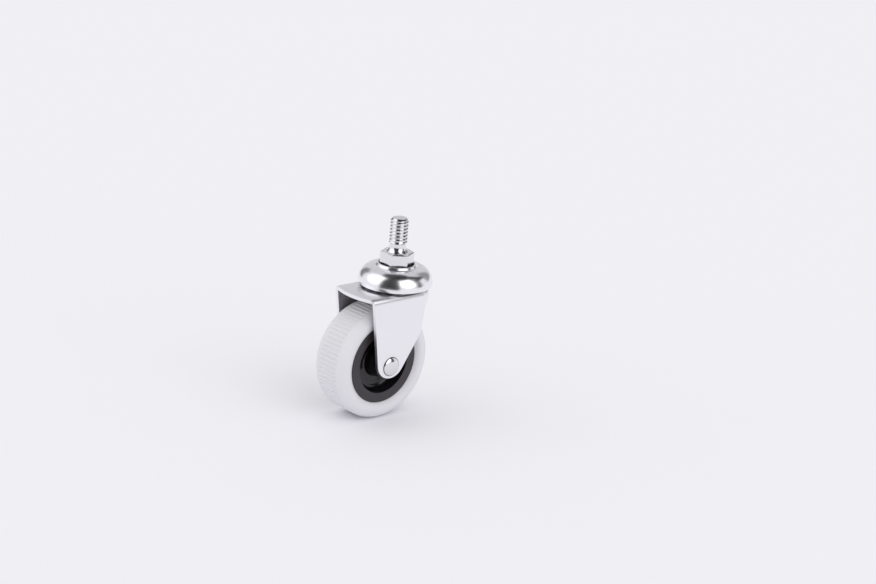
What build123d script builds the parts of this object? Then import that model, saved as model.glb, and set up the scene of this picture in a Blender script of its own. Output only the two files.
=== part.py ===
from build123d import *
import os
from math import asin, cos, floor, pi, radians, sin, sqrt

# Swivel castor with a threaded stem. Millimetres, +Z up.
# The swivel axis is Z. The wheel turns about an axis parallel to Y and trails towards -X.
# The origin is the centre of the mounting face, the top of the hex collar.

# ---- Driving dimensions -------------------------------------------------------------------------
# Stem
thread_diameter = 8.0
thread_length = 14.9
thread_chamfer = 1.0
neck_diameter = 7.2
neck_height = 4.2
neck_flare_height = 1.4
neck_flare_diameter = 9.6
hex_across_flats = 13.0
hex_height = 5.2
hex_chamfer = 0.5
hex_turn = 25.1
shank_diameter = 9.0
spigot_diameter = 6.6
staked_bead_diameter = 11.4
staked_bead_height = 1.0
peened_head_diameter = 10.4
peened_head_height = 1.4

# Dome cap
dome_diameter = 32.4
dome_height = 8.5
dome_sheet = 1.2
dome_shoulder_radius = 7.0
seat_diameter = 17.2
seat_height = 1.0
rim_gap = 0.6

# Ball races
upper_ball_diameter = 5.0
lower_ball_diameter = 4.0
contact_angle = 45.0
race_play = 0.05
ball_spacing_play = 0.06
lower_row_play = 0.1375
lower_race_wall = 1.3
lower_race_lip = 0.8
lower_race_diameter = 18.4

# Fork
fork_sheet = 1.5
fork_width = 25.8
fork_bend_radius = 2.5
crown_diameter = 24.0
crown_hole_play = 0.4
plate_front = 22.4
plate_front_bulge = 2.8
skirt_diameter = 29.8
skirt_depth = 4.4
skirt_corner_radius = 8.0
skirt_throat_radius = 4.0
leg_rear_top = 8.0
leg_end_radius = 7.6
leg_end_rise = 2.3
leg_knee_radius = 12.0
leg_knee_rear = 5.9
leg_knee_rise = 17.0

# Wheel and axle
wheel_diameter = 50.0
wheel_clearance = 5.1
trail = 10.5
tyre_width = 19.4
tyre_shoulder_radius = 4.2
tyre_bore_diameter = 35.7
tyre_edge_inset = 1.8
rib_count = 80
rib_width = 1.1
rib_height = 0.35
rib_root_depth = 2.0
rim_width = 16.4
rim_ring_width = 4.4
rim_edge_radius = 0.5
channel_depth = 1.4
channel_width = 9.0
web_thickness = 5.6
dish_wall_lean = 0.8
dish_radius = 3.2
boss_diameter = 13.0
boss_play = 0.4
boss_foot_radius = 1.2
rivet_diameter = 6.0
rivet_fit = 0.03
rivet_head_diameter = 8.6
rivet_rim_height = 0.4
rivet_rim_inset = 0.7
rivet_dome_height = 0.9
sleeve_wall = 1.0
sleeve_bore_play = 0.05
wheel_bearing_play = 0.05

# ---- Heights and places worked out from them ----------------------------------------------------
seat_top = -hex_height
dome_top = seat_top - seat_height
rim_bottom = dome_top - dome_height
plate_top = rim_bottom - rim_gap
plate_under = plate_top - fork_sheet
wheel_radius = wheel_diameter / 2
axle_x = -trail
axle_z = plate_under - wheel_clearance - wheel_radius

dome_radius = dome_diameter / 2
shoulder_centre_r = dome_radius - dome_shoulder_radius
shoulder_centre_z = dome_top - dome_shoulder_radius
dome_ceiling = dome_top - dome_sheet
seat_ceiling = dome_ceiling + seat_height

# An upper ball rests against the dome's inner shoulder, up and outwards at the contact angle.
upper_ball_radius = upper_ball_diameter / 2
upper_groove = upper_ball_radius + race_play
upper_reach = dome_shoulder_radius - dome_sheet - upper_groove
upper_r = shoulder_centre_r + upper_reach * cos(radians(contact_angle))
upper_z = shoulder_centre_z + upper_reach * sin(radians(contact_angle))

# The crown's sheet lies between the two ball rows. The lower row runs close round the shank, low
# enough to leave one sheet thickness along the line of ball centres.
lower_ball_radius = lower_ball_diameter / 2
lower_groove = lower_ball_radius + race_play
lower_r = shank_diameter / 2 + lower_row_play + lower_ball_radius
row_spread = upper_r - lower_r
centre_distance = upper_groove + fork_sheet + lower_groove
centre_drop = sqrt(max(centre_distance**2 - row_spread**2, 0))
lower_z = upper_z - max(centre_drop, fork_sheet + lower_groove)
crown_ceiling = lower_z + lower_groove
crown_top = crown_ceiling + fork_sheet

crown_radius = crown_diameter / 2
crown_hole_radius = shank_diameter / 2 + crown_hole_play
lower_race_under = lower_z - lower_groove - lower_race_wall
lower_race_top = lower_z + lower_race_lip

leg_inner = fork_width / 2 - fork_sheet
leg_depth = plate_top - axle_z + leg_end_radius
sleeve_radius = rivet_diameter / 2 + sleeve_bore_play + sleeve_wall


# ---- Helpers ------------------------------------------------------------------------------------
def profile(points):
    """A closed face on the XZ plane through (distance from axis, height) points."""
    return Plane.XZ * make_face(Polyline(*points, close=True))


def disc(r, z, radius):
    """A full circle on the XZ plane, used to add or take away a round stretch of a profile."""
    return Plane.XZ * (Pos(r, z) * Circle(radius))


def box_face(r0, r1, z0, z1):
    """An upright rectangle on the XZ plane."""
    return profile([(r0, z0), (r1, z0), (r1, z1), (r0, z1)])


def spin(face):
    """A solid of revolution about the swivel axis."""
    return revolve(face, Axis.Z, 360)


def on_axle(shape):
    """Carries a shape built round Z to the wheel axis, with +Z turned to +Y."""
    return Pos(axle_x, 0, axle_z) * Rot(-90, 0, 0) * shape


def wheel_ring(section):
    """A ring on the wheel axis from one half of its section, mirrored across the middle plane."""
    half = revolve(Plane.XZ * section, Axis.Z, 360)
    return on_axle(half + mirror(half, Plane.XY))


def round_corner(section, x, y, radius):
    """Rounds the corner of a flat section that lies at the given place."""
    corner = section.vertices().sort_by_distance(Vertex(x, y, 0))[0]
    return fillet(corner, radius)


# ---- Stem ---------------------------------------------------------------------------------------
def king_stem():
    """Threaded stud, hex collar, shank, staked bead and peened end, turned as one piece."""
    thread_r = thread_diameter / 2
    neck_r = neck_diameter / 2
    flare_r = neck_flare_diameter / 2
    neck_ramp = thread_r - neck_r
    stud = profile([
        (0, -hex_chamfer),
        (flare_r, -hex_chamfer),
        (flare_r, 0),
        (neck_r, neck_flare_height),
        (neck_r, neck_height - neck_ramp),
        (thread_r, neck_height),
        (thread_r, thread_length - thread_chamfer),
        (thread_r - thread_chamfer, thread_length),
        (0, thread_length),
    ])
    across_corners = hex_across_flats / cos(pi / 6)
    collar = extrude(RegularPolygon(across_corners / 2, 6, rotation=hex_turn), -hex_height)
    crown_r = across_corners / 2
    flat_r = hex_across_flats / 2
    chamfer_cone = profile([
        (0, -hex_height),
        (crown_r, -hex_height),
        (crown_r, -hex_chamfer),
        (flat_r, 0),
        (0, 0),
    ])
    shank_r = shank_diameter / 2
    bead_r = staked_bead_diameter / 2
    spigot_r = spigot_diameter / 2
    lower_end = profile([
        (0, seat_top),
        (shank_r, seat_top),
        (shank_r, seat_ceiling),
        (bead_r, seat_ceiling),
        (shank_r, seat_ceiling - staked_bead_height),
        (shank_r, lower_race_top),
        (spigot_r, lower_race_top),
        (spigot_r, lower_race_under),
        (0, lower_race_under),
    ])
    head = profile([(0, lower_race_under), (peened_head_diameter / 2, lower_race_under),
                    (spigot_r, lower_race_under - peened_head_height),
                    (0, lower_race_under - peened_head_height)])
    return spin(stud) + (collar & spin(chamfer_cone)) + spin(lower_end) + spin(head)


# ---- Dome cap -----------------------------------------------------------------------------------
def dome_section(inset):
    """Half section under the dome's skin, drawn in from the outside by a sheet thickness."""
    radius = dome_shoulder_radius - inset
    shoulder = disc(shoulder_centre_r, shoulder_centre_z, radius)
    core = box_face(0, shoulder_centre_r, rim_bottom, dome_top - inset)
    below_top = box_face(0, dome_radius, rim_bottom, dome_top)
    return (shoulder + core) & below_top


def dome_cap():
    """Pressed cap: tucked rim, round shoulder and a raised seat that the hex collar bears on."""
    seat_r = seat_diameter / 2
    slope = seat_height / 2
    seat = profile([(0, dome_ceiling), (seat_r + slope, dome_ceiling), (seat_r + slope, dome_top),
                    (seat_r, seat_top), (0, seat_top)])
    hollow_r = seat_r - dome_sheet
    seat_hollow = profile([(0, dome_ceiling), (hollow_r + slope, dome_ceiling),
                           (hollow_r, seat_ceiling), (0, seat_ceiling)])
    outside = spin(dome_section(0) + seat)
    inside = spin(dome_section(dome_sheet) + seat_hollow)
    hole = spin(box_face(0, shank_diameter / 2 + race_play, seat_ceiling, seat_top))
    return outside - inside - hole


# ---- Lower race ---------------------------------------------------------------------------------
def lower_race():
    """Ring held under the fork by the peened end, with a groove for the lower balls."""
    bore_r = spigot_diameter / 2 + race_play
    rim_r = lower_race_diameter / 2
    shelf = lower_z - lower_groove
    section = profile([
        (bore_r, lower_race_under),
        (rim_r, lower_race_under),
        (rim_r, shelf),
        (lower_r, shelf),
        (lower_r, lower_race_top),
        (bore_r, lower_race_top),
    ]) - disc(lower_r, lower_z, lower_groove)
    return spin(section)


# ---- Balls --------------------------------------------------------------------------------------
def full_row(pitch_radius, ball_radius):
    """As many balls as fit on a pitch circle with a little play between neighbours."""
    half_step = asin((ball_radius + ball_spacing_play / 2) / pitch_radius)
    return floor(pi / half_step)


def ball_row(pitch_radius, height, ball_radius):
    """Balls spread evenly round the swivel axis."""
    count = full_row(pitch_radius, ball_radius)
    return [Rot(0, 0, 360 * i / count) * Pos(pitch_radius, 0, height) * Sphere(ball_radius)
            for i in range(count)]


# ---- Fork ---------------------------------------------------------------------------------------
def fork_outline(inset):
    """Plan of the folded sheet: straight sides, a round rear end and an open front."""
    half = fork_width / 2 - inset
    round_r = skirt_diameter / 2 - inset
    far = 2 * (plate_front + plate_front_bulge)
    sides = Pos(-far / 2, 0) * Rectangle(far, 2 * half)
    rear = Circle(round_r) & Rectangle(far, 2 * half)
    plan = sides + rear
    corners = plan.vertices().filter_by(lambda v: v.X > 0)
    return fillet(corners, skirt_corner_radius - inset)


def fork_block(inset, top, bend):
    """The outline as a block, with its upper edge rounded along the bends and round the rear."""
    block = Pos(0, 0, top) * extrude(fork_outline(inset), -leg_depth)
    upper = block.faces().sort_by(Axis.Z)[-1].edges()
    front = upper.sort_by(Axis.X)[0]
    return fillet([edge for edge in upper if edge != front], bend)


def plate_plan():
    """What the gently bulging front edge leaves of the plan."""
    half = fork_width / 2
    bow = plate_front + plate_front_bulge
    edge = ThreePointArc((-plate_front, -half), (-bow, 0), (-plate_front, half))
    rear = skirt_diameter / 2
    sides = Polyline((-plate_front, half), (rear, half), (rear, -half), (-plate_front, -half))
    return make_face(edge + sides)


def leg_side_view():
    """Side outline: hull of the top edge, a soft rear knee and the round lower end, and the skirt."""
    end = Pos(axle_x, axle_z + leg_end_rise) * Circle(leg_end_radius)
    knee_x = leg_knee_rear - leg_knee_radius
    knee = Pos(knee_x, axle_z + leg_knee_rise) * Circle(leg_knee_radius)
    middle = (leg_rear_top - plate_front) / 2
    head = Pos(middle, plate_top) * Rectangle(leg_rear_top + plate_front, 2 * fork_sheet)
    legs = make_hull((end + knee + head).edges())
    rear = skirt_diameter / 2
    skirt = Pos(rear / 2, plate_top) * Rectangle(rear, 2 * skirt_depth)
    side = round_corner(legs + skirt, leg_rear_top, plate_top - skirt_depth, skirt_throat_radius)
    front = plate_front + plate_front_bulge
    visor = Pos(-front / 2, plate_top) * Rectangle(front, 2 * fork_sheet)
    return side + visor


def crown_outside():
    """Half section of the crown's upper side, with the groove that the upper balls run in."""
    block = box_face(0, crown_radius, plate_under - fork_bend_radius, crown_top)
    return block - disc(upper_r, upper_z, upper_groove)


def crown_inside():
    """Half section of the crown's hollow: the lower balls' groove and the space for their race."""
    wall_r = crown_radius - fork_sheet
    shelf = upper_z - upper_groove - fork_sheet
    hollow = box_face(0, wall_r, plate_under - fork_bend_radius, shelf)
    core = box_face(0, lower_r, shelf, crown_ceiling)
    return hollow + core + disc(lower_r, lower_z, lower_groove)


def fork():
    """One pressed sheet: drawn crown with the hole and both races, top plate, skirt and two legs."""
    outer = fork_block(0, plate_top, fork_bend_radius) + spin(crown_outside())
    inner = fork_block(fork_sheet, plate_under, fork_bend_radius - fork_sheet) + spin(crown_inside())
    plan = Pos(0, 0, plate_top - leg_depth) * extrude(plate_plan(), 2 * leg_depth)
    side = extrude(Plane.XZ * leg_side_view(), fork_width / 2, both=True)
    crown_room = spin(box_face(0, crown_radius, plate_top, crown_top))
    hole = spin(box_face(0, crown_hole_radius, plate_under, crown_top))
    rivet_hole = on_axle(Cylinder(rivet_diameter / 2 + rivet_fit, 2 * fork_width))
    return ((outer - inner) & plan & (side + crown_room)) - hole - rivet_hole


# ---- Axle ---------------------------------------------------------------------------------------
def axle_rivet():
    """Shank through both legs, with a low domed head and a flat rim at each side."""
    head_r = rivet_head_diameter / 2
    shank_r = rivet_diameter / 2
    face = fork_width / 2
    rim = face + rivet_rim_height
    crest = rim + rivet_dome_height
    dome_r = head_r - rivet_rim_inset
    edge = Polyline((dome_r, rim), (head_r, rim), (head_r, face), (shank_r, face), (shank_r, 0), (0, 0),
                    (0, crest))
    swell = (dome_r**2 + rivet_dome_height**2) / (2 * rivet_dome_height)
    dome = RadiusArc((0, crest), (dome_r, rim), swell)
    return wheel_ring(make_face(edge + dome))


def axle_sleeve():
    """Spacer tube between the legs: the rivet clamps it and the hub turns on it."""
    bore = rivet_diameter / 2 + sleeve_bore_play
    tube = Cylinder(sleeve_radius, 2 * leg_inner) - Cylinder(bore, 2 * leg_inner)
    return on_axle(tube)


# ---- Wheel --------------------------------------------------------------------------------------
def hub():
    """Moulded wheel centre: rim with a tyre channel, dished web and a boss on the sleeve."""
    rim_r = tyre_bore_diameter / 2
    face = rim_width / 2
    ring_r = rim_r - rim_ring_width
    web = web_thickness / 2
    boss_r = boss_diameter / 2
    boss_face = leg_inner - boss_play
    bore_r = sleeve_radius + wheel_bearing_play
    channel = channel_width / 2
    dish_r = ring_r - dish_wall_lean
    body = [
        (bore_r, 0), (rim_r - channel_depth, 0), (rim_r - channel_depth, channel), (rim_r, channel),
        (rim_r, face), (ring_r, face), (dish_r, web), (boss_r, web), (boss_r, boss_face),
        (bore_r, boss_face),
    ]
    section = make_face(Polyline(*body, close=True))
    section = round_corner(section, dish_r, web, dish_radius)
    section = round_corner(section, boss_r, web, boss_foot_radius)
    section = round_corner(section, rim_r, face, rim_edge_radius)
    section = round_corner(section, ring_r, face, rim_edge_radius)
    return wheel_ring(section)


def tyre_section():
    """Half section of the tyre's body: bulging side, round shoulder and the band left open."""
    bore = tyre_bore_diameter / 2
    half_width = tyre_width / 2
    band = half_width - tyre_shoulder_radius
    shoulder_r = wheel_radius - tyre_shoulder_radius
    edge = half_width - tyre_edge_inset
    channel = channel_width / 2
    quarter = tyre_shoulder_radius * sin(pi / 4)
    shoulder = ThreePointArc((wheel_radius, band), (shoulder_r + quarter, band + quarter),
                             (shoulder_r, half_width))
    side = TangentArc((shoulder_r, half_width), (bore, edge), tangent=(-1, 0))
    rest = Polyline((bore, edge), (bore, channel), (bore - channel_depth, channel),
                    (bore - channel_depth, 0), (wheel_radius - rib_root_depth, 0),
                    (wheel_radius - rib_root_depth, band), (wheel_radius, band))
    return make_face(shoulder + side + rest)


def ribbed_band():
    """The middle of the tread: flat-topped ribs that run across it, evenly spaced."""
    band = tyre_width / 2 - tyre_shoulder_radius
    root = wheel_radius - rib_height
    half_rib = asin(rib_width / 2 / wheel_radius)
    points = []
    for i in range(rib_count):
        middle = 2 * pi * i / rib_count
        for radius, angle in ((root, middle - half_rib), (wheel_radius, middle - half_rib),
                              (wheel_radius, middle + half_rib), (root, middle + half_rib)):
            points.append((radius * cos(angle), radius * sin(angle)))
    toothed = make_face(Polyline(*points, close=True)) - Circle(wheel_radius - rib_root_depth)
    return extrude(toothed, band, both=True)


def tyre():
    """Soft ring moulded into the hub's channel."""
    return wheel_ring(tyre_section()) + on_axle(ribbed_band())


# ---- Parts --------------------------------------------------------------------------------------
def main():
    pieces = {
        "king_stem": king_stem(),
        "dome_cap": dome_cap(),
        "lower_race": lower_race(),
        "fork": fork(),
        "axle_rivet": axle_rivet(),
        "axle_sleeve": axle_sleeve(),
        "hub": hub(),
        "tyre": tyre(),
    }
    rows = {
        "upper_ball": ball_row(upper_r, upper_z, upper_ball_radius),
        "lower_ball": ball_row(lower_r, lower_z, lower_ball_radius),
    }
    for name, balls in rows.items():
        for i, ball in enumerate(balls, start=1):
            pieces[f"{name}_{i:02d}"] = ball
    os.makedirs("parts", exist_ok=True)
    for name, shape in pieces.items():
        export_step(shape, f"parts/{name}.step")


if __name__ == "__main__":
    main()
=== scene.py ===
from math import cos, pi, radians, sin

import bmesh
import bpy
import numpy as np
from bpy.props import FloatProperty, FloatVectorProperty, IntProperty, PointerProperty
from mathutils import Matrix, Vector


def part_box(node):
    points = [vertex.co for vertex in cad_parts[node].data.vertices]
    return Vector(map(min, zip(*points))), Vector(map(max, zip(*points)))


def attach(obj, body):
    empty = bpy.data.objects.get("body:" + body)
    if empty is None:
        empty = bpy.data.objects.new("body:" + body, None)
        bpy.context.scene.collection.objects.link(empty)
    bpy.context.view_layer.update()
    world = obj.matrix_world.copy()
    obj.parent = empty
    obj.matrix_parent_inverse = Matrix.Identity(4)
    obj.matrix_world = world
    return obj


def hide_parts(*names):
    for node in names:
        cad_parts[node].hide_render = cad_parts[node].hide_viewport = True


bl_info = {
    "name": "Swivel castor",
    "version": (1, 0, 0),
    "blender": (4, 5, 0),
    "location": "3D View > Sidebar > Castor",
    "description": "Surfaces and finishes of a swivel castor round its packed solids",
    "category": "Object",
}

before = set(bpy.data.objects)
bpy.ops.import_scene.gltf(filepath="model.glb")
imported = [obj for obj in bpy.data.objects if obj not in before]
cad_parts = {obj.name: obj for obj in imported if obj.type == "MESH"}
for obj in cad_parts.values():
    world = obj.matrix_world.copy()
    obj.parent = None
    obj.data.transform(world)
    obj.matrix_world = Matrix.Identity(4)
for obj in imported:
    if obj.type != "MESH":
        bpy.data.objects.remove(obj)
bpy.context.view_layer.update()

MM = 0.001
TURN = 2 * pi

# Low and high corners of the solids' boxes, in metres.
STEM_LOW, STEM_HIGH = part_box("king_stem")
CAP_LOW, CAP_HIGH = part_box("dome_cap")
RACE_LOW, RACE_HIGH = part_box("lower_race")
FORK_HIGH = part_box("fork")[1]
TYRE_LOW, TYRE_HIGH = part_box("tyre")
HUB_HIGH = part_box("hub")[1]
RIVET_LOW, RIVET_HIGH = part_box("axle_rivet")

WHEEL_CENTRE = (TYRE_LOW + TYRE_HIGH) / 2
WHEEL_RADIUS = (TYRE_HIGH.z - TYRE_LOW.z) / 2
FLOOR_Z = TYRE_LOW.z


# ---- Settings -----------------------------------------------------------------------------------
def length(name, description, mm):
    """A size in metres, written in millimetres."""
    return FloatProperty(name=name, description=description, default=mm * MM, min=0.0, unit="LENGTH",
                         precision=5)


def share(name, description, value):
    """A plain number from 0 to 1."""
    return FloatProperty(name=name, description=description, default=value, min=0.0, max=1.0,
                         subtype="FACTOR")


def brightness(name, description, value):
    """A light's strength, from 0 up."""
    return FloatProperty(name=name, description=description, default=value, min=0.0)


def colour(name, description, value):
    """A linear colour."""
    return FloatVectorProperty(name=name, description=description, default=value, size=3, min=0.0,
                               max=1.0, subtype="COLOR")


class StemSettings(bpy.types.PropertyGroup):
    """Sizes and finish of the threaded stem and its hex collar."""

    thread_pitch: length("Thread pitch", "Rise of one turn of the thread", 1.5)
    thread_depth: length("Thread depth", "Depth of the thread's groove", 0.5)
    thread_chamfer: length("Top chamfer", "Chamfer at the stem's top", 1.0)
    neck_height: length("Neck height", "Height of the plain neck over the collar", 4.2)
    neck_radius: length("Neck radius", "Radius of the plain neck", 3.6)
    flare_radius: length("Flare radius", "Radius of the neck's foot on the collar", 4.8)
    flare_height: length("Flare height", "Height of the neck's flared foot", 1.4)
    hex_flats: length("Across flats", "Width of the hex collar over its flats", 13.0)
    hex_height: length("Collar height", "Height of the hex collar", 5.2)
    hex_chamfer: length("Collar chamfer", "Height of the chamfer on the collar's corners", 0.5)
    hex_turn: FloatProperty(name="Collar turn", description="Turn of the collar about the stem",
                            default=radians(25.1), subtype="ANGLE")
    hex_break: length("Top edge break", "How far the flats draw in at the collar's top edge", 0.45)
    hex_softness: length("Edge softness", "Rounding of the collar's upright edges", 0.12)
    tint: colour("Plating colour", "Colour of the bright zinc on the stem", (0.82, 0.82, 0.84))
    roughness: share("Plating roughness", "Roughness of the bright zinc on the stem", 0.17)


class CapSettings(bpy.types.PropertyGroup):
    """Sizes and finish of the dome cap, and the shade painted in its groove and inside it."""

    shoulder: length("Shoulder radius", "Radius of the cap's round shoulder", 7.0)
    sheet: length("Sheet thickness", "Thickness of the cap's sheet", 1.2)
    seat_radius: length("Seat radius", "Radius of the raised seat under the collar", 8.6)
    seat_height: length("Seat height", "Height of the raised seat", 1.0)
    hole_radius: length("Hole radius", "Radius of the hole for the stem", 4.55)
    groove_radius: length("Groove radius", "Inner radius of the groove round the collar's foot", 6.3)
    groove_width: length("Groove width", "Width of the groove round the collar's foot", 1.5)
    groove_depth: length("Groove depth", "Depth of the groove round the collar's foot", 0.4)
    lip_rise: length("Lip rise", "How far the rolled lip stands over the rim's lowest point", 0.45)
    # Painted shade: this dark colour stands in for the shade in the groove round the collar's foot and
    # inside the cap.
    cap_shade_tint: colour("Grease colour", "Colour of the greased steel in the groove and inside the cap",
                   (0.025, 0.023, 0.025))
    tint: colour("Polish colour", "Colour of the polished cap", (0.92, 0.914, 0.937))
    roughness: share("Polish roughness", "Roughness of the polished cap", 0.22)


class ForkSettings(bpy.types.PropertyGroup):
    """Edges and finish of the fork, where its plate lies, and the shade painted inside its legs and under
    its plate.
    """

    plate_top: FloatProperty(name="Plate top", description="Height of the plate's top",
                             default=-15.3 * MM, unit="LENGTH", precision=5)
    sheet: length("Sheet", "Thickness of the fork's sheet", 1.5)
    edge_width: length("Edge width", "Rounding of the sheared edges", 0.14)
    tint: colour("Plating colour", "Colour of the bright zinc on the fork", (0.93, 0.924, 0.950))
    # Painted shade: this darker colour inside the legs and under the plate stands in for the shade there.
    shade_tint: colour("Inside colour", "Colour of the duller zinc inside the legs", (0.48, 0.47, 0.49))
    roughness: share("Plating roughness", "Roughness of the bright zinc on the fork", 0.36)


class AxleSettings(bpy.types.PropertyGroup):
    """Sizes and finish of the axle rivet, the shade painted round its heads, and the finish of its sleeve.
    """

    shank_radius: length("Shank radius", "Radius of the rivet's shank", 3.0)
    fullness: share("Fullness", "Shape of the crown, from an ellipse at 0.5 to a parabola at 1", 0.68)
    rim_height: length("Rim height", "Height of the flat rim round the head", 0.15)
    rim_inset: length("Rim inset", "Width of the flat rim round the head", 0.2)
    # Painted shade: this width sets the dark ring painted round each head, which stands in for the shade
    # at the head's edge.
    edge_width: length("Edge width", "Width of the dull edge round the heads", 0.25)
    tint: colour("Steel colour", "Colour of the rivet and the sleeve", (0.80, 0.80, 0.82))
    # Painted shade: the dark colour of that ring round the heads.
    edge_shade_tint: colour("Edge colour", "Colour of the dull steel round the heads", (0.12, 0.118, 0.12))
    roughness: share("Steel roughness", "Roughness of the rivet", 0.1)
    sleeve_roughness: share("Sleeve roughness", "Roughness of the sleeve", 0.35)


class BearingSettings(bpy.types.PropertyGroup):
    """Finish of the balls and the lower race."""

    ball_tint: colour("Ball colour", "Colour of the polished balls", (0.70, 0.70, 0.72))
    ball_roughness: share("Ball roughness", "Roughness of the polished balls", 0.12)
    race_tint: colour("Race colour", "Colour of the lower race", (0.60, 0.60, 0.62))
    race_roughness: share("Race roughness", "Roughness of the lower race", 0.36)


class HubSettings(bpy.types.PropertyGroup):
    """Sizes and finish of the hub."""

    rim_width: length("Rim width", "Width of the hub's rim", 16.4)
    ring_width: length("Ring width", "Width of the satin ring on the rim's face", 4.4)
    channel_depth: length("Channel depth", "Depth of the channel that holds the tyre", 1.4)
    channel_width: length("Channel width", "Width of the channel that holds the tyre", 9.0)
    web: length("Web thickness", "Thickness of the dished web", 5.6)
    wall_lean: length("Wall lean", "How far the dish's wall leans in towards the web", 0.8)
    dish_radius: length("Dish radius", "Radius between the dish's wall and the web", 3.2)
    boss_radius: length("Boss radius", "Radius of the boss", 6.5)
    boss_foot: length("Boss foot", "Radius between the boss and the web", 1.2)
    bore_radius: length("Bore radius", "Radius of the bore on the sleeve", 4.1)
    tint: colour("Plastic colour", "Colour of the glossy black plastic", (0.007, 0.006, 0.008))
    ring_tint: colour("Ring colour", "Colour of the satin ring", (0.035, 0.030, 0.036))
    roughness: share("Plastic roughness", "Roughness of the glossy plastic", 0.16)
    ring_roughness: share("Ring roughness", "Roughness of the satin ring", 0.5)


class TyreSettings(bpy.types.PropertyGroup):
    """Sizes and finish of the tyre."""

    shoulder: length("Shoulder radius", "Radius of the tyre's shoulder", 4.2)
    side_inset: length("Side inset", "How far the side draws in at the rim", 1.8)
    rib_depth: length("Rib height", "Height of the ribs across the tread", 0.35)
    rib_share: share("Rib share", "Width of a rib as a share of its pitch", 0.56)
    rib_count: IntProperty(name="Rib count", description="Ribs round the tread", default=80, min=12)
    tint: colour("Rubber colour", "Colour of the pale grey rubber", (0.75, 0.743, 0.78))
    roughness: share("Rubber roughness", "Roughness of the rubber", 0.62)


class StageSettings(bpy.types.PropertyGroup):
    """Floor, light and camera."""

    backdrop: colour("Backdrop colour", "Colour of the background", (0.850, 0.842, 0.883))
    floor: colour("Floor colour", "Colour of the floor", (0.900, 0.890, 0.933))
    fill: brightness("Fill", "Strength of the light from all round", 0.84)
    left: brightness("Left window", "Strength of the window on the left", 0.33)
    right: brightness("Right window", "Strength of the window on the right", 0.42)
    distance: length("Camera distance", "Distance from the camera to the axle", 1000.0)


SETTINGS = {
    "castor_stem": StemSettings,
    "castor_cap": CapSettings,
    "castor_fork": ForkSettings,
    "castor_axle": AxleSettings,
    "castor_bearing": BearingSettings,
    "castor_hub": HubSettings,
    "castor_tyre": TyreSettings,
    "castor_stage": StageSettings,
}


# ---- Outlines -----------------------------------------------------------------------------------
def mm(*sizes):
    """Sizes in millimetres, turned into metres."""
    return [size * MM for size in sizes]


def arc(centre, radius, start, end, steps):
    """Points at centre + radius (cos a, sin a), with the angle a in degrees running evenly to end."""
    a = np.radians(np.linspace(start, end, steps))
    return np.stack([centre[0] + radius * np.cos(a), centre[1] + radius * np.sin(a)], axis=1)


def rounded(points, radii, steps):
    """Corners of an open outline eased by quadratic curves.

    Each corner C gives way to (1-t)^2 A + 2t(1-t) C + t^2 B, with A and B on its two sides, one
    radius from C but no further than 0.45 of the side. The two end points stay as they are.
    """
    most_of_side = 0.45
    p = np.asarray(points, float)
    inner = p[1:-1]
    back, ahead = p[:-2] - inner, p[2:] - inner
    back_size = np.linalg.norm(back, axis=1)
    ahead_size = np.linalg.norm(ahead, axis=1)
    step_back = np.minimum(radii, most_of_side * back_size)
    step_ahead = np.minimum(radii, most_of_side * ahead_size)
    a = inner + back * (step_back / back_size)[:, None]
    b = inner + ahead * (step_ahead / ahead_size)[:, None]
    t = np.linspace(0, 1, steps)[None, :, None]
    curve = (1 - t) ** 2 * a[:, None] + 2 * t * (1 - t) * inner[:, None] + t**2 * b[:, None]
    return np.vstack([p[:1], curve.reshape(-1, 2), p[-1:]])


def mirrored(half):
    """An outline and its mirror image across the middle plane, in running order."""
    return np.vstack([half, half[::-1] * (1, -1)])


# ---- Meshes -------------------------------------------------------------------------------------
def grid_faces(rows, columns, closed_rows):
    """Quads between neighbours on a grid that always closes along its columns."""
    last = rows if closed_rows else rows - 1
    i = np.arange(last)[:, None]
    j = np.arange(columns)[None, :]
    below, above = i * columns, (i + 1) % rows * columns
    right = (j + 1) % columns
    return np.stack([below + j, below + right, above + right, above + j], axis=-1).reshape(-1, 4)


def new_object(name, data):
    """An object in the scene, at the origin, unturned and unscaled."""
    made = bpy.data.objects.new(name, data)
    bpy.context.scene.collection.objects.link(made)
    return made


def shade(mesh, sharp):
    """Smooth shading, with the edges past an angle in degrees kept sharp."""
    mesh.shade_smooth()
    mesh.set_sharp_from_angle(angle=radians(sharp))


def grid_object(name, points, closed_rows, sharp=35.0):
    """An object from a grid of points, welded at its poles, with faces outwards."""
    rows, columns = points.shape[:2]
    mesh = bpy.data.meshes.new(name)
    mesh.from_pydata(points.reshape(-1, 3), [], grid_faces(rows, columns, closed_rows))
    shell = bmesh.new()
    shell.from_mesh(mesh)
    bmesh.ops.remove_doubles(shell, verts=shell.verts, dist=1e-7)
    bmesh.ops.dissolve_degenerate(shell, edges=shell.edges, dist=1e-8)
    bmesh.ops.recalc_face_normals(shell, faces=shell.faces)
    shell.to_mesh(mesh)
    shell.free()
    shade(mesh, sharp)
    return new_object(name, mesh)


def about_stem(radius, height, angle):
    """Points at (radius cos a, radius sin a, height)."""
    radius, height, angle = np.broadcast_arrays(radius, height, angle)
    return np.stack([radius * np.cos(angle), radius * np.sin(angle), height], axis=-1)


def about_axle(radius, side, angle):
    """Points at the wheel's centre + (radius cos a, side, radius sin a)."""
    radius, side, angle = np.broadcast_arrays(radius, side, angle)
    turned = np.stack([radius * np.cos(angle), side, radius * np.sin(angle)], axis=-1)
    return turned + np.array(WHEEL_CENTRE)


def lathe(name, outline, place, closed_rows, steps):
    """An outline of (radius, along) points turned once round an axis."""
    angle = np.arange(steps) * TURN / steps
    points = place(outline[:, 0][:, None], outline[:, 1][:, None], angle[None, :])
    return grid_object(name, points, closed_rows)


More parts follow.
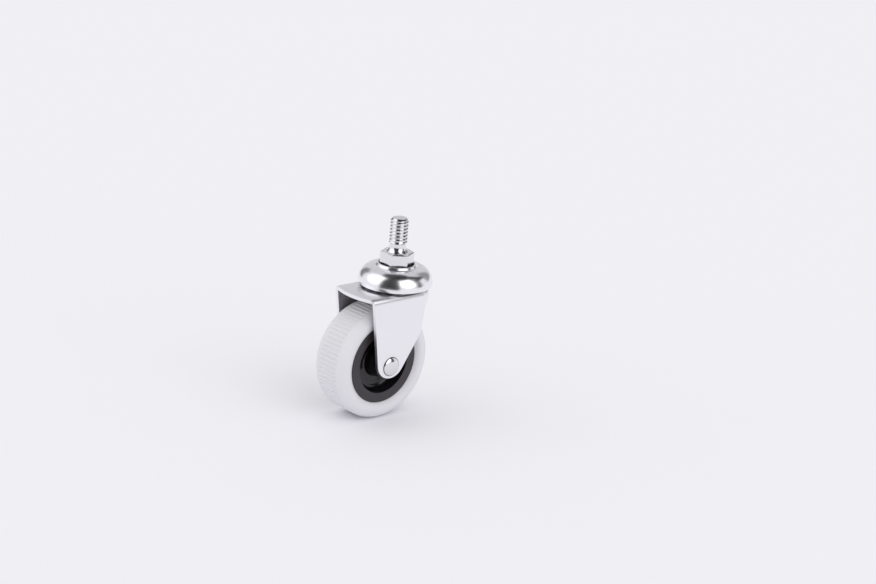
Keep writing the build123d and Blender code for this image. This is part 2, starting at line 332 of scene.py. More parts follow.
def finish_piece(piece, body, material, nodes):
    """Puts a new piece on its body, in place of the nodes that it stands for."""
    piece.data.materials.clear()
    piece.data.materials.append(material)
    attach(piece, body)
    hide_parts(*nodes)


def dress(node, material):
    """Gives a CAD node its finish."""
    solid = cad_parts[node]
    solid.data.materials.clear()
    solid.data.materials.append(material)


def face_values(mesh, field):
    """Rows x, y and z of a field of the faces, such as center or normal."""
    values = np.empty(len(mesh.polygons) * 3)
    mesh.polygons.foreach_get(field, values)
    return values.reshape(-1, 3).T


def mark_painted_shade(mesh, chosen):
    """Writes the mask of painted shade: 1 on the chosen faces, else 0."""
    dull = mesh.attributes.new("dull", "FLOAT", "FACE")
    dull.data.foreach_set("value", chosen.astype(np.float32))


# ---- Materials ----------------------------------------------------------------------------------
def wire(tree, source, target):
    """Joins an output socket to an input socket."""
    tree.links.new(source, target)


def fresh_group(name, inputs, outputs):
    """A shader node group with named sockets of a kind and a default, and its two end nodes."""
    group = bpy.data.node_groups.new(name, "ShaderNodeTree")
    for label, kind, default in inputs:
        socket = group.interface.new_socket(name=label, in_out="INPUT", socket_type=kind)
        socket.default_value = default
    for label, kind in outputs:
        group.interface.new_socket(name=label, in_out="OUTPUT", socket_type=kind)
    return group, group.nodes.new("NodeGroupInput"), group.nodes.new("NodeGroupOutput")


def math_node(tree, operation, first, second, clamp=False):
    """The output of a new Math node on two sockets or numbers."""
    node = tree.nodes.new("ShaderNodeMath")
    node.operation = operation
    node.use_clamp = clamp
    for socket, value in zip(node.inputs, (first, second)):
        if isinstance(value, (int, float)):
            socket.default_value = value
        else:
            wire(tree, value, socket)
    return node.outputs[0]


def cloudy_group():
    """Soft variation: middle + spread (wide noise + 0.4 fine noise - 0.7), in object space, from 0 to 1.

    The fine noise has 7 times the scale of the wide one, and 0.7 is the sum's own middle.
    """
    name = "castor_cloudy"
    finer, fine_share = 7.0, 0.4
    if name in bpy.data.node_groups:
        return bpy.data.node_groups[name]
    group, start, end = fresh_group(
        name,
        [("Scale", "NodeSocketFloat", 200.0), ("Middle", "NodeSocketFloat", 0.5),
         ("Spread", "NodeSocketFloat", 0.1)],
        [("Value", "NodeSocketFloat")],
    )
    scale = start.outputs["Scale"]
    where = group.nodes.new("ShaderNodeTexCoord")
    wide = group.nodes.new("ShaderNodeTexNoise")
    fine = group.nodes.new("ShaderNodeTexNoise")
    for noise in (wide, fine):
        noise.inputs["Detail"].default_value = 3.0
        wire(group, where.outputs["Object"], noise.inputs["Vector"])
    wire(group, scale, wide.inputs["Scale"])
    wire(group, math_node(group, "MULTIPLY", scale, finer), fine.inputs["Scale"])
    fainter = math_node(group, "MULTIPLY", fine.outputs["Fac"], fine_share)
    both = math_node(group, "ADD", wide.outputs["Fac"], fainter)
    centred = math_node(group, "SUBTRACT", both, (1 + fine_share) / 2)
    moved = math_node(group, "MULTIPLY", centred, start.outputs["Spread"])
    wire(group, math_node(group, "ADD", moved, start.outputs["Middle"], clamp=True), end.inputs["Value"])
    return group


def cloudy(tree, scale, middle, spread):
    """The output of a cloudy group placed in a material with its own values."""
    node = tree.nodes.new("ShaderNodeGroup")
    node.node_tree = cloudy_group()
    for label, value in (("Scale", scale), ("Middle", middle), ("Spread", spread)):
        node.inputs[label].default_value = value
    return node.outputs["Value"]


def own_mask(tree, name):
    """The output of a mask that the mesh carries as its own attribute."""
    mask = tree.nodes.new("ShaderNodeAttribute")
    mask.attribute_name = name
    return mask.outputs["Fac"]


def plain_material(name, tint, metallic, roughness):
    """A new material and its Principled shader."""
    material = bpy.data.materials.new(name)
    material.use_nodes = True
    shader = material.node_tree.nodes["Principled BSDF"]
    shader.inputs["Base Color"].default_value = (*tint, 1.0)
    shader.inputs["Metallic"].default_value = metallic
    shader.inputs["Roughness"].default_value = roughness
    return material, shader


def blend_tints(tree, shader, mask, first, second):
    """Base colour that goes from the first tint to the second where the mask goes from 0 to 1."""
    mix = tree.nodes.new("ShaderNodeMix")
    mix.data_type = "RGBA"
    mix.inputs["A"].default_value = (*first, 1.0)
    mix.inputs["B"].default_value = (*second, 1.0)
    wire(tree, mask, mix.inputs["Factor"])
    wire(tree, mix.outputs["Result"], shader.inputs["Base Color"])


def raise_roughness(tree, shader, base, mask, rise):
    """Roughness that is the base plus the rise times the mask."""
    raised = math_node(tree, "MULTIPLY", mask, rise)
    wire(tree, math_node(tree, "ADD", base, raised, clamp=True), shader.inputs["Roughness"])


def noise_bump(tree, shader, scale, distance, strength):
    """Fine relief: noise in object space as the height of a bump."""
    where = tree.nodes.new("ShaderNodeTexCoord")
    noise = tree.nodes.new("ShaderNodeTexNoise")
    noise.inputs["Scale"].default_value = scale
    noise.inputs["Detail"].default_value = 4.0
    bump = tree.nodes.new("ShaderNodeBump")
    bump.inputs["Strength"].default_value = strength
    bump.inputs["Distance"].default_value = distance
    wire(tree, where.outputs["Object"], noise.inputs["Vector"])
    wire(tree, noise.outputs["Fac"], bump.inputs["Height"])
    wire(tree, bump.outputs["Normal"], shader.inputs["Normal"])


def plated_metal(name, tint, roughness, spread, relief):
    """Bare or plated steel: uneven gloss over a faint relief."""
    material, shader = plain_material(name, tint, 1.0, roughness)
    tree = material.node_tree
    wire(tree, cloudy(tree, scale=160.0, middle=roughness, spread=spread), shader.inputs["Roughness"])
    noise_bump(tree, shader, scale=900.0, distance=0.02 * MM, strength=relief)
    return material


def metal_with_painted_shade(name, tint, shade_tint, roughness, spread, relief, rise=0.25):
    """Plated metal with painted shade: it turns to rougher, darker metal where the mesh's own mask of
    painted shade is 1.
    """
    material = plated_metal(name, tint, roughness, spread, relief)
    tree = material.node_tree
    shader = tree.nodes["Principled BSDF"]
    gloss = shader.inputs["Roughness"].links[0].from_socket
    dull = own_mask(tree, "dull")
    blend_tints(tree, shader, dull, tint, shade_tint)
    raise_roughness(tree, shader, gloss, dull, rise)
    return material


def rubber(name, tint, roughness, darker=0.96, lighter=1.03):
    """Moulded rubber: matte, faintly mottled between two shades of its tint, with a fine skin."""
    material, shader = plain_material(name, tint, 0.0, roughness)
    tree = material.node_tree
    wire(tree, cloudy(tree, scale=90.0, middle=roughness, spread=0.14), shader.inputs["Roughness"])
    mottle = cloudy(tree, scale=60.0, middle=0.5, spread=0.5)
    blend_tints(tree, shader, mottle, [darker * c for c in tint], [min(1.0, lighter * c) for c in tint])
    noise_bump(tree, shader, scale=2600.0, distance=0.03 * MM, strength=0.25)
    return material


def hub_plastic(s):
    """Glossy black plastic that turns satin and lighter where the mesh's own ring attribute is 1."""
    material, shader = plain_material("hub_black", s.tint, 0.0, s.roughness)
    tree = material.node_tree
    ring = own_mask(tree, "ring")
    blend_tints(tree, shader, ring, s.tint, s.ring_tint)
    gloss = cloudy(tree, scale=140.0, middle=s.roughness, spread=0.06)
    raise_roughness(tree, shader, gloss, ring, s.ring_roughness - s.roughness)
    noise_bump(tree, shader, scale=3200.0, distance=0.02 * MM, strength=0.12)
    return material


# ---- Stem ---------------------------------------------------------------------------------------
THREAD_RADIUS = 4.0 * MM
STUD_SINK = 0.4 * MM  # how far the stud reaches down into the collar
SHANK_RADIUS, BEAD_RADIUS, SPIGOT_RADIUS, PEENED_RADIUS = mm(4.5, 5.7, 3.3, 5.2)


def thread_wave(turns):
    """Groove depth from 0 at a crest to 1 at a root, for a position counted in turns.

    A raised cosine with flattened ends: (1 - cos(one turn)) / 2, widened by 1.12 about its middle.
    """
    widening = 1.12
    wave = (1 - np.cos(TURN * turns)) / 2
    return np.clip(0.5 + widening * (wave - 0.5), 0, 1)


def stud_surface(s):
    """Radius over angle and height: the plain envelope less the groove of a right-hand helix.

    The groove is thread_wave(height / pitch - angle / one turn). Over the first 0.6 of a pitch it
    grows to its depth, and on the chamfer the envelope ends it.
    """
    steps, chamfer_rows, run_in = 144, 12, 0.6
    taper, first_row, row = mm(0.5, 0.06, 0.07)
    start, top = s.neck_height, STEM_HIGH.z
    crest = top - s.thread_chamfer
    foot = rounded(
        [(0.0, -STUD_SINK), (s.flare_radius, -STUD_SINK), (s.flare_radius, 0.0),
         (s.neck_radius, s.flare_height), (s.neck_radius, start - taper), (THREAD_RADIUS, start)],
        mm(0.0, 0.0, 0.9, 0.1), steps=7)
    height = np.arange(start + first_row, crest, row)
    body = np.stack([np.full_like(height, THREAD_RADIUS), height], axis=1)
    tip = rounded([(THREAD_RADIUS, crest), (THREAD_RADIUS - s.thread_chamfer, top), (0.0, top)],
                  mm(0.2), steps=4)
    # The chamfer is dense too, because the thread runs out over it.
    chamfer = tip[0] + (tip[1] - tip[0]) * np.linspace(0, 1, chamfer_rows)[:, None]
    outline = np.vstack([foot, body, chamfer, tip[2:]])
    angle = np.arange(steps)[None, :] * TURN / steps
    radius, z = outline[:, 0][:, None], outline[:, 1][:, None]
    grown = np.clip((z - start) / (run_in * s.thread_pitch), 0, 1)
    groove = THREAD_RADIUS - s.thread_depth * thread_wave(z / s.thread_pitch - angle / TURN) * grown
    threaded = (z > start) & (radius > THREAD_RADIUS - s.thread_depth)
    radius = np.where(threaded, np.minimum(radius, groove), radius)
    return about_stem(radius, z, angle)


def collar_surface(s):
    """Hex prism with a coned top: radius is the lesser of flats / cos(angle from the flat's middle)
    and the cone, which runs from the corners down to the flats over the chamfer's height.

    The angles crowd towards the corners: the share of a side is 1 - (1 - share)^1.6.
    """
    sides, per_side, crowding, chamfer_rows = 6, 24, 1.6, 9
    flat = s.hex_flats / 2
    corner = flat / cos(pi / sides)
    even = np.linspace(-1, 1, per_side + 1)[:-1]
    within = np.sign(even) * (1 - (1 - np.abs(even)) ** crowding) * pi / sides
    side = np.arange(sides)[:, None] * TURN / sides
    angle = (side + within[None, :]).ravel() + pi / sides + s.hex_turn
    hexagon = np.minimum(np.tile(flat / np.cos(within), sides), corner - s.hex_softness)
    low, edge = -s.hex_height, s.hex_softness
    # Rows: the underside's pole and rim, the flats' foot, the chamfer, and the pole on top.
    z = np.concatenate([[low, low, low + edge], np.linspace(-s.hex_chamfer, 0, chamfer_rows), [0.0]])
    rise = np.clip((z + s.hex_chamfer) / s.hex_chamfer, 0, 1)
    inset = s.hex_break * rise
    inset[0], inset[1] = corner, edge
    cone = corner - (corner - flat + s.hex_break) * rise
    radius = np.maximum(np.minimum(hexagon[None, :] - inset[:, None], cone[:, None]), 0)
    radius[-1] = 0
    return about_stem(radius, z[:, None], angle[None, :])


def stem_foot_outline():
    """Shank, staked bead, spigot and peened end, from inside the collar down to the last point."""
    sink, cap_sheet, bead = mm(0.2, 1.2, 1.0)
    start, ceiling = CAP_HIGH.z + sink, CAP_HIGH.z - cap_sheet
    return rounded(
        [(0.0, start), (SHANK_RADIUS, start), (SHANK_RADIUS, ceiling), (BEAD_RADIUS, ceiling),
         (SHANK_RADIUS, ceiling - bead), (SHANK_RADIUS, RACE_HIGH.z), (SPIGOT_RADIUS, RACE_HIGH.z),
         (SPIGOT_RADIUS, RACE_LOW.z), (PEENED_RADIUS, RACE_LOW.z), (SPIGOT_RADIUS, STEM_LOW.z),
         (0.0, STEM_LOW.z)],
        mm(0.0, 0.1, 0.3, 0.2, 0.1, 0.1, 0.0, 0.8, 0.8), steps=5)


class CASTOR_OT_stem(bpy.types.Operator):
    """Makes the threaded stud, the hex collar and the stem's riveted lower end"""

    bl_idname = "castor.stem"
    bl_label = "Threaded stem"

    def execute(self, context):
        s = context.scene.castor_stem
        bright = plated_metal("stem_bright_zinc", s.tint, s.roughness, spread=0.10, relief=0.10)
        stud = grid_object("threaded_stud", stud_surface(s), closed_rows=False, sharp=40)
        collar = grid_object("hex_collar", collar_surface(s), closed_rows=False, sharp=18)
        foot = lathe("stem_foot", stem_foot_outline(), about_stem, closed_rows=False, steps=96)
        for piece in (stud, collar, foot):
            finish_piece(piece, "mount_body", bright, ["king_stem"])
        return {"FINISHED"}


# ---- Cap ----------------------------------------------------------------------------------------
def cap_outline(s):
    """Section of the cap's sheet: rolled lip, outer shoulder, seat with its groove, hole, and back
    along the inside. The shoulders are arcs that stop short of the rim, where the lip rounds over."""
    short_of_rim = 1.5
    radius = CAP_HIGH.x
    top = CAP_HIGH.z - s.seat_height
    rim = CAP_LOW.z + s.lip_rise
    inner = s.shoulder - s.sheet
    centre = (radius - s.shoulder, top - s.shoulder)
    drop = rim - centre[1]
    outer_start = np.degrees(np.arcsin(drop / s.shoulder))
    inner_start = np.degrees(np.arcsin(drop / inner))
    slope = s.seat_height / 2
    lean = 0.2 * slope
    ceiling = top - s.sheet
    seat_ceiling = CAP_HIGH.z - s.sheet
    groove = CAP_HIGH.z - s.groove_depth
    groove_out = s.groove_radius + s.groove_width
    outside = arc(centre, s.shoulder, outer_start + short_of_rim, 90, steps=48)
    seat = rounded(
        [outside[-1], (s.seat_radius + slope, top), (s.seat_radius, CAP_HIGH.z),
         (groove_out, CAP_HIGH.z), (groove_out - lean, groove), (s.groove_radius + lean, groove),
         (s.groove_radius, CAP_HIGH.z), (s.hole_radius, CAP_HIGH.z), (s.hole_radius, seat_ceiling),
         (s.seat_radius - s.sheet, seat_ceiling), (s.seat_radius - s.sheet + slope, ceiling),
         (centre[0], ceiling)],
        mm(0.3, 0.2, 0.1, 0.1, 0.1, 0.1, 0.1, 0.1, 0.3, 0.3), steps=6)
    inside = arc(centre, inner, 90, inner_start - short_of_rim, steps=30)
    rim_out = centre[0] + s.shoulder * cos(radians(outer_start))
    rim_in = centre[0] + inner * cos(radians(inner_start))
    lip = rounded([inside[-1], (rim_in, rim), (rim_out, rim), outside[0]], mm(0.5, 0.5), steps=7)
    return np.vstack([outside[:-1], seat[:-1], inside[:-1], lip[:-1]])


def cap_painted_shade(s, at):
    """True where shade is painted: in the seat's groove and on the inside of the sheet.

    A point is inside where it lies nearer to the shoulder's centre line than the sheet's middle, or
    under the ceiling and nearer to the axis than that line.
    """
    under_skin, under_seat = 0.7 * s.sheet, 0.25 * s.groove_depth
    x, y, z = at
    out = np.hypot(x, y)
    top = CAP_HIGH.z - s.seat_height
    line = CAP_HIGH.x - s.shoulder
    from_line = np.hypot(out - line, z - (top - s.shoulder))
    shoulder = (from_line < s.shoulder - under_skin) & (out > line)
    ceiling = (z < top - under_skin) & (out <= line)
    groove = (z < CAP_HIGH.z - under_seat) & (z > top)
    groove &= (out > s.groove_radius) & (out < s.groove_radius + s.groove_width)
    return shoulder | ceiling | groove


class CASTOR_OT_cap(bpy.types.Operator):
    """Makes the polished dome cap"""

    bl_idname = "castor.cap"
    bl_label = "Dome cap"

    def execute(self, context):
        s = context.scene.castor_cap
        cap = lathe("dome_shell", cap_outline(s), about_stem, closed_rows=True, steps=256)
        # Painted shade: the groove and the cap's inside take the dark shade colour and turn rougher.
        mark_painted_shade(cap.data, cap_painted_shade(s, face_values(cap.data, "center")))
        polish = metal_with_painted_shade("cap_polish", s.tint, s.cap_shade_tint, s.roughness, spread=0.03, relief=0.03)
        finish_piece(cap, "mount_body", polish, ["dome_cap"])
        return {"FINISHED"}


# ---- Fork ---------------------------------------------------------------------------------------
def fork_painted_shade(s, at, facing):
    """True where shade is painted: on the insides of the legs and on the underside of the plate.

    Such a face lies within the sheet's outer skin and its normal points inwards or down.
    """
    inwards = -0.7
    under = s.plate_top - s.sheet
    leg = (np.abs(at[1]) < FORK_HIGH.y - 0.9 * s.sheet) & (facing[1] * np.sign(at[1]) < inwards)
    plate = (np.abs(at[2] - under) < 0.1 * s.sheet) & (facing[2] < inwards)
    return (leg & (at[2] < under)) | plate


class CASTOR_OT_fork(bpy.types.Operator):
    """Makes the fork with softened sheared edges"""

    bl_idname = "castor.fork"
    bl_label = "Fork"

    def execute(self, context):
        s = context.scene.castor_fork
        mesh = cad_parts["fork"].data.copy()
        mesh.name = "fork_sheet"
        shell = bmesh.new()
        shell.from_mesh(mesh)
        bmesh.ops.remove_doubles(shell, verts=shell.verts, dist=2e-6)
        bmesh.ops.dissolve_limit(shell, angle_limit=radians(0.5), verts=shell.verts, edges=shell.edges)
        shell.to_mesh(mesh)
        shell.free()
        shade(mesh, sharp=35)
        # Painted shade: the insides of the legs and the plate's underside are darkened and roughened.
        mark_painted_shade(mesh, fork_painted_shade(s, face_values(mesh, "center"), face_values(mesh, "normal")))
        sheet = new_object("fork_sheet", mesh)
        bevel = sheet.modifiers.new("soft edges", "BEVEL")
        bevel.width = s.edge_width
        bevel.segments = 2
        bevel.limit_method = "ANGLE"
        bevel.angle_limit = radians(38)
        bevel.harden_normals = True
        zinc = metal_with_painted_shade("fork_bright_zinc", s.tint, s.shade_tint, s.roughness,
                               spread=0.12, relief=0.08)
        finish_piece(sheet, "swivel_body", zinc, ["fork"])
        return {"FINISHED"}


# ---- Axle ---------------------------------------------------------------------------------------
def rivet_outline(s):
    """Half section of the rivet from the middle of its shank to its crown.

    The crown, between an ellipse and a parabola, is dome sin(t) out and rise cos(t) to the power
    2 fullness up.
    """
    head = (RIVET_HIGH.x - RIVET_LOW.x) / 2
    face = FORK_HIGH.y
    rim = face + s.rim_height
    dome = head - s.rim_inset
    rise = RIVET_HIGH.y - rim
    t = np.linspace(pi / 2, 0, num=28)
    crown = np.stack([dome * np.sin(t), rim + rise * np.cos(t).clip(0) ** (2 * s.fullness)], axis=1)
    crown[-1, 0] = 0.0
    edge = rounded([(s.shank_radius, 0.0), (s.shank_radius, face), (head, face), (head, rim), crown[0]],
                   mm(0.1, 0.1, 0.18), steps=5)
    return np.vstack([edge, crown[1:]])


def rivet_painted_shade(s, at):
    """True where shade is painted: round the heads, within the edge's width of their outline."""
    head = RIVET_HIGH.z - WHEEL_CENTRE.z
    return np.hypot(at[0] - WHEEL_CENTRE.x, at[2] - WHEEL_CENTRE.z) > head - s.edge_width


class CASTOR_OT_axle(bpy.types.Operator):
    """Makes the axle rivet and finishes its sleeve"""

    bl_idname = "castor.axle"
    bl_label = "Axle rivet"

    def execute(self, context):
        s = context.scene.castor_axle
        # Painted shade: the heads darken and turn rougher round their edges.
        steel = metal_with_painted_shade("rivet_steel", s.tint, s.edge_shade_tint, s.roughness, spread=0.05, relief=0.12)
        outline = mirrored(rivet_outline(s)[::-1])
        rivet = lathe("rivet_body", outline, about_axle, closed_rows=False, steps=96)
        mark_painted_shade(rivet.data, rivet_painted_shade(s, face_values(rivet.data, "center")))
        finish_piece(rivet, "swivel_body", steel, ["axle_rivet"])
        sleeve = plated_metal("sleeve_steel", s.tint, s.sleeve_roughness, spread=0.12, relief=0.15)
        dress("axle_sleeve", sleeve)
        return {"FINISHED"}


# ---- Bearing ------------------------------------------------------------------------------------
class CASTOR_OT_bearing(bpy.types.Operator):
    """Finishes the balls and the lower race"""

    bl_idname = "castor.bearing"
    bl_label = "Ball rows"

    def execute(self, context):
        s = context.scene.castor_bearing
        balls = plated_metal("ball_steel", s.ball_tint, s.ball_roughness, spread=0.05, relief=0.02)
        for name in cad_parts:
            if "_ball_" in name:
                dress(name, balls)
        race = plated_metal("race_steel", s.race_tint, s.race_roughness, spread=0.15, relief=0.2)
        dress("lower_race", race)
        return {"FINISHED"}


# ---- Wheel --------------------------------------------------------------------------------------
def hub_outline(s):
    """Half section of the hub, from the channel's floor over the rim and down the dish to its bore."""
    rim_r = HUB_HIGH.z - WHEEL_CENTRE.z
    face = s.rim_width / 2
    ring_r = rim_r - s.ring_width
    channel = s.channel_width / 2
    floor_r = rim_r - s.channel_depth
    dish_r = ring_r - s.wall_lean
    web = s.web / 2
    boss_face = HUB_HIGH.y
    corners = [
        (floor_r, 0.0), (floor_r, channel), (rim_r, channel), (rim_r, face), (ring_r, face), (dish_r, web),
        (s.boss_radius, web), (s.boss_radius, boss_face), (s.bore_radius, boss_face), (s.bore_radius, 0.0),
    ]
    radii = [*mm(0.0, 0.0, 0.5, 0.5), s.dish_radius, s.boss_foot, *mm(0.3, 0.2)]
    return rounded(corners, radii, steps=9)


def mark_ring(mesh, low, high, side):
    """Writes the ring attribute: 1 where a point's distance from the axle is between low and high and
    it lies further out than side, eased over a tenth of a millimetre."""
    ease = 0.1 * MM
    points = np.empty(len(mesh.vertices) * 3)
    mesh.vertices.foreach_get("co", points)
    x, y, z = (points.reshape(-1, 3) - np.array(WHEEL_CENTRE)).T
    reach = np.hypot(x, z)
    inside = np.clip((reach - low) / ease, 0, 1) * np.clip((high - reach) / ease, 0, 1)
    inside *= np.abs(y) > side
    ring = mesh.attributes.new("ring", "FLOAT", "POINT")
    ring.data.foreach_set("value", inside.astype(np.float32))


class CASTOR_OT_hub(bpy.types.Operator):
    """Makes the black hub with its satin ring"""

    bl_idname = "castor.hub"
    bl_label = "Hub"

    def execute(self, context):
        s = context.scene.castor_hub
        outline = mirrored(hub_outline(s))[:-1]
        hub = lathe("hub_body", outline, about_axle, closed_rows=True, steps=192)
        rim_r = HUB_HIGH.z - WHEEL_CENTRE.z
        just_inside_face = s.rim_width / 2 - 0.6 * MM
        mark_ring(hub.data, rim_r - s.ring_width, rim_r + s.ring_width, just_inside_face)
        finish_piece(hub, "wheel_body", hub_plastic(s), ["hub"])
        return {"FINISHED"}


def tyre_outline(s, hub):
    """Half section of the tyre: band, shoulder, bulging side, bore and the tongue in the channel.

    The side draws in by its inset times the square of the share of the way down to the bore.
    """
    band_points, shoulder_points, side_points = 9, 14, 8
    bore = HUB_HIGH.z - WHEEL_CENTRE.z
    half = TYRE_HIGH.y
    band = half - s.shoulder
    shoulder_r = WHEEL_RADIUS - s.shoulder
    tread = np.stack([np.full(band_points, WHEEL_RADIUS), np.linspace(0, band, band_points)], axis=1)
    shoulder = arc((shoulder_r, band), s.shoulder, 0, 90, shoulder_points)
    drop = np.linspace(0, 1, side_points)[1:, None]
    side = np.hstack([shoulder_r + (bore - shoulder_r) * drop, half - s.side_inset * drop**2])
    channel = hub.channel_width / 2
    floor_r = bore - hub.channel_depth
    inner = np.array([(bore, channel), (floor_r, channel), (floor_r, 0.0)])
    return np.vstack([tread, shoulder[1:], side, inner])


def tyre_surface(s, hub):
    """Tyre section turned round the axle, with the tread lowered between ribs.

    The drop is rib height times a clipped ramp of the phase within one rib, and it fades at the
    band's two edges.
    """
    soft, fade_width, skin = 0.035, 0.25 * MM, 0.02 * MM
    half_rib = s.rib_share / 2
    flank = half_rib + soft * np.array([-1.0, -0.3, 0.6, 1.6])
    # Columns over half a rib: its top, its flank and the floor beside it. The other half mirrors them.
    phase = np.concatenate([[0.0, 0.5 * half_rib], flank, [0.5]])
    phase = np.concatenate([phase, 1 - phase[1:-1][::-1]])
    rib = np.arange(s.rib_count)[:, None]
    turns = (rib + phase[None, :]).ravel() / s.rib_count
    from_middle = np.abs((turns * s.rib_count + 0.5) % 1.0 - 0.5)
    low = np.clip((from_middle - (half_rib - soft)) / (2 * soft), 0, 1)
    outline = mirrored(tyre_outline(s, hub))[:-1]
    radius, side = outline[:, 0][:, None], outline[:, 1][:, None]
    band = TYRE_HIGH.y - s.shoulder
    fade = np.clip((band - np.abs(side)) / fade_width, 0, 1) * (radius > WHEEL_RADIUS - skin)
    return about_axle(radius - s.rib_depth * fade * low[None, :], side, turns[None, :] * TURN)


class CASTOR_OT_tyre(bpy.types.Operator):
    """Makes the ribbed grey tyre"""

    bl_idname = "castor.tyre"
    bl_label = "Tyre"

    def execute(self, context):
        s = context.scene.castor_tyre
        surface = tyre_surface(s, context.scene.castor_hub)
        tyre = grid_object("tyre_body", surface, closed_rows=True, sharp=50)
        grey = rubber("tyre_grey", s.tint, s.roughness)
        finish_piece(tyre, "wheel_body", grey, ["tyre"])
        return {"FINISHED"}


# ---- Stage --------------------------------------------------------------------------------------
IMAGE_WIDTH, IMAGE_HEIGHT = 876, 584
PIXELS_PER_METRE = 2313.0
AXLE_PIXEL = (371.35, 357.47)
VIEW_RIGHT = Vector((0.7367, -0.6717, 0.0782)).normalized()
VIEW_UP = Vector((0.1585, 0.2840, 0.9456))
SENSOR_WIDTH = 36.0
FLOOR_REACH = 8.0
CARD_RADIUS = 0.45

# Each window: name, azimuth, elevation and width in degrees, and the setting with its strength.
WINDOWS = (
    ("window_left", 155.0, 35.0, 62.0, "left"),
    ("window_right", 273.0, 32.0, 53.0, "right"),
)

# Each card: name, azimuths and elevations in degrees, grey, and distance from the origin.
CARDS = (
    ("card_front", (181.0, 243.0), (-9.0, 60.0), 0.04, CARD_RADIUS),
    ("card_right", (299.0, 318.0), (-4.0, 60.0), 0.12, CARD_RADIUS),
    ("card_far_right", (318.0, 343.0), (30.0, 60.0), 0.03, CARD_RADIUS),
    ("card_above", (181.0, 343.0), (60.0, 90.0), 0.03, CARD_RADIUS),
    ("card_above_left", (106.0, 181.0), (66.0, 90.0), 0.06, CARD_RADIUS),
    ("card_over", (-17.0, 106.0), (66.0, 90.0), 0.06, CARD_RADIUS),
    ("card_back_left", (78.0, 104.0), (-4.0, 34.0), 0.22, CARD_RADIUS),
    ("card_back_right", (343.0, 376.0), (4.0, 44.0), 0.32, CARD_RADIUS),
    ("card_behind", (-10.0, 106.0), (2.0, 62.0), 0.70, 1.1 * CARD_RADIUS),
)


def add_camera(s):
    """Long lens at the viewing angle, placed so that the axle's middle falls on its pixel."""
    up = (VIEW_UP - VIEW_RIGHT * VIEW_UP.dot(VIEW_RIGHT)).normalized()
    back = VIEW_RIGHT.cross(up)
    data = bpy.data.cameras.new("camera")
    data.sensor_width = SENSOR_WIDTH
    data.lens = PIXELS_PER_METRE * s.distance * data.sensor_width / IMAGE_WIDTH
    data.clip_start, data.clip_end = 0.01, 100.0
    camera = new_object("camera", data)
    aside = (IMAGE_WIDTH / 2 - AXLE_PIXEL[0]) / PIXELS_PER_METRE
    above = (AXLE_PIXEL[1] - IMAGE_HEIGHT / 2) / PIXELS_PER_METRE
    place = WHEEL_CENTRE + back * s.distance + VIEW_RIGHT * aside + up * above
    turn = Matrix((VIEW_RIGHT, up, back)).transposed().to_4x4()
    camera.matrix_world = Matrix.Translation(place) @ turn
    bpy.context.scene.camera = camera


def matte(name, tint):
    """A material with its tint and no gloss."""
    material, shader = plain_material(name, tint, 0.0, 1.0)
    shader.inputs["Specular IOR Level"].default_value = 0.0
    return material


def add_floor(s):
    """Wide pale floor under the tyre that keeps the object's shadow."""
    corners = np.array([(-1, -1, 0), (1, -1, 0), (1, 1, 0), (-1, 1, 0)], float) * FLOOR_REACH
    corners[:, 2] = FLOOR_Z
    mesh = bpy.data.meshes.new("floor")
    mesh.from_pydata(corners, [], [(0, 1, 2, 3)])
    mesh.materials.append(matte("floor_pale", s.floor))
    floor = new_object("floor", mesh)


def add_world(s):
    """Even white light from all round, and the backdrop's own colour where the camera, gloss or glass
    sees it."""
    world = bpy.data.worlds.new("studio")
    bpy.context.scene.world = world
    world.use_nodes = True
    tree = world.node_tree
    tree.nodes.clear()
    out = tree.nodes.new("ShaderNodeOutputWorld")
    light = tree.nodes.new("ShaderNodeBackground")
    shown = tree.nodes.new("ShaderNodeBackground")
    path = tree.nodes.new("ShaderNodeLightPath")
    mix = tree.nodes.new("ShaderNodeMixShader")
    light.inputs["Color"].default_value = (1.0, 1.0, 1.0, 1.0)
    light.inputs["Strength"].default_value = s.fill
    shown.inputs["Color"].default_value = (*s.backdrop, 1.0)
    seen = math_node(tree, "MAXIMUM", path.outputs["Is Camera Ray"], path.outputs["Is Glossy Ray"])
    seen = math_node(tree, "MAXIMUM", seen, path.outputs["Is Transmission Ray"])
    wire(tree, seen, mix.inputs["Fac"])
    wire(tree, light.outputs["Background"], mix.inputs[1])
    wire(tree, shown.outputs["Background"], mix.inputs[2])
    wire(tree, mix.outputs["Shader"], out.inputs["Surface"])


def toward(azimuth, elevation):
    """Unit vector (cos a cos e, sin a cos e, sin e) for an azimuth and an elevation in degrees."""
    a, e = radians(azimuth), radians(elevation)
    return Vector((cos(a) * cos(e), sin(a) * cos(e), sin(e)))


def add_window(name, azimuth, elevation, width, strength):
    """A far, wide and soft light, seen in gloss as a bright round window."""
    data = bpy.data.lights.new(name, "SUN")
    data.energy = strength
    data.angle = radians(width)
    lamp = new_object(name, data)
    lamp.rotation_mode = "QUATERNION"
    lamp.rotation_quaternion = toward(azimuth, elevation).to_track_quat("Z", "Y")


def add_card(name, azimuths, elevations, grey, radius):
    """A grey curved card outside the picture that only gloss sees: a patch of a sphere round the
    origin, with points at radius (cos a cos e, sin a cos e, sin e)."""
    across, up = 24, 16
    a = np.radians(np.linspace(*azimuths, across))[:, None]
    e = np.radians(np.linspace(*elevations, up))[None, :]
    rays = np.broadcast_arrays(np.cos(a) * np.cos(e), np.sin(a) * np.cos(e), np.sin(e))
    i, j = np.meshgrid(np.arange(across - 1), np.arange(up - 1), indexing="ij")
    first = (i * up + j).ravel()
    quads = np.stack([first, first + 1, first + up + 1, first + up], axis=1)
    mesh = bpy.data.meshes.new(name)
    mesh.from_pydata(radius * np.stack(rays, axis=-1).reshape(-1, 3), [], quads)
    mesh.materials.append(matte(name, (grey, grey, grey)))
    card = new_object(name, mesh)
    card.visible_camera = card.visible_diffuse = card.visible_shadow = False


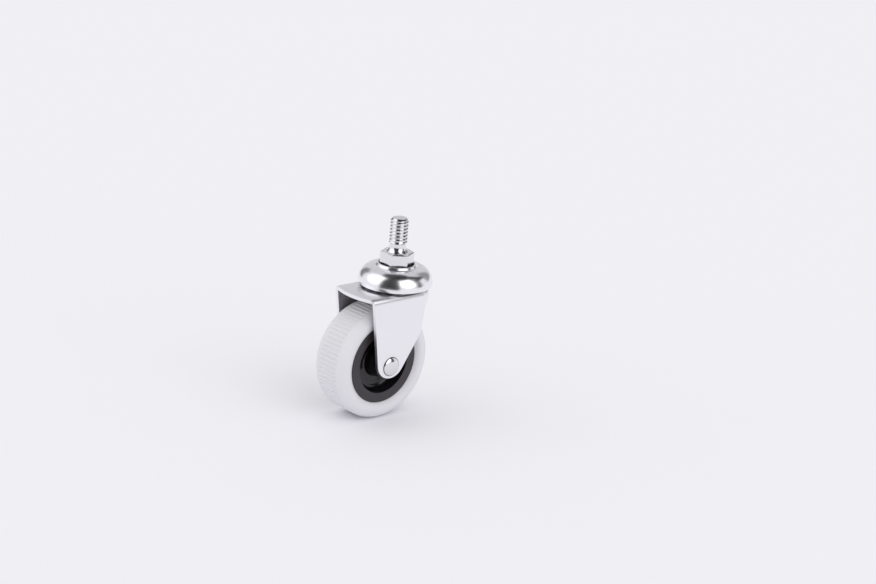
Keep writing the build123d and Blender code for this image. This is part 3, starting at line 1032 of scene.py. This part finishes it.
class CASTOR_OT_stage(bpy.types.Operator):
    """Makes the floor, the light and the camera"""

    bl_idname = "castor.stage"
    bl_label = "Floor, light and camera"

    def execute(self, context):
        s = context.scene.castor_stage
        context.scene.view_settings.view_transform = "Standard"
        add_world(s)
        add_floor(s)
        add_camera(s)
        for name, azimuth, elevation, width, setting in WINDOWS:
            add_window(name, azimuth, elevation, width, getattr(s, setting))
        for card in CARDS:
            add_card(*card)
        return {"FINISHED"}


# ---- Panel and registration ---------------------------------------------------------------------
OPERATORS = (
    CASTOR_OT_stem,
    CASTOR_OT_cap,
    CASTOR_OT_fork,
    CASTOR_OT_axle,
    CASTOR_OT_bearing,
    CASTOR_OT_hub,
    CASTOR_OT_tyre,
    CASTOR_OT_stage,
)


class CASTOR_PT_panel(bpy.types.Panel):
    """Lists the castor's pieces and their settings"""

    bl_idname = "CASTOR_PT_panel"
    bl_label = "Swivel castor"
    bl_space_type = "VIEW_3D"
    bl_region_type = "UI"
    bl_category = "Castor"

    def draw(self, context):
        layout = self.layout
        for operator in OPERATORS:
            layout.operator(operator.bl_idname)
        for name, group in SETTINGS.items():
            box = layout.box()
            box.label(text=group.__doc__)
            for key in group.__annotations__:
                box.prop(getattr(context.scene, name), key)


def register():
    """Adds the settings, the operators and the panel."""
    for group in SETTINGS.values():
        bpy.utils.register_class(group)
    for operator in (*OPERATORS, CASTOR_PT_panel):
        bpy.utils.register_class(operator)
    for name, group in SETTINGS.items():
        setattr(bpy.types.Scene, name, PointerProperty(type=group))


def unregister():
    """Takes them out again, in the opposite order."""
    for name in SETTINGS:
        delattr(bpy.types.Scene, name)
    for operator in (CASTOR_PT_panel, *reversed(OPERATORS)):
        bpy.utils.unregister_class(operator)
    for group in reversed(list(SETTINGS.values())):
        bpy.utils.unregister_class(group)


def main():
    """Registers the settings, then makes every piece in order."""
    register()
    for operator in OPERATORS:
        group, action = operator.bl_idname.split(".")
        getattr(getattr(bpy.ops, group), action)()


if __name__ == "__main__":
    main()
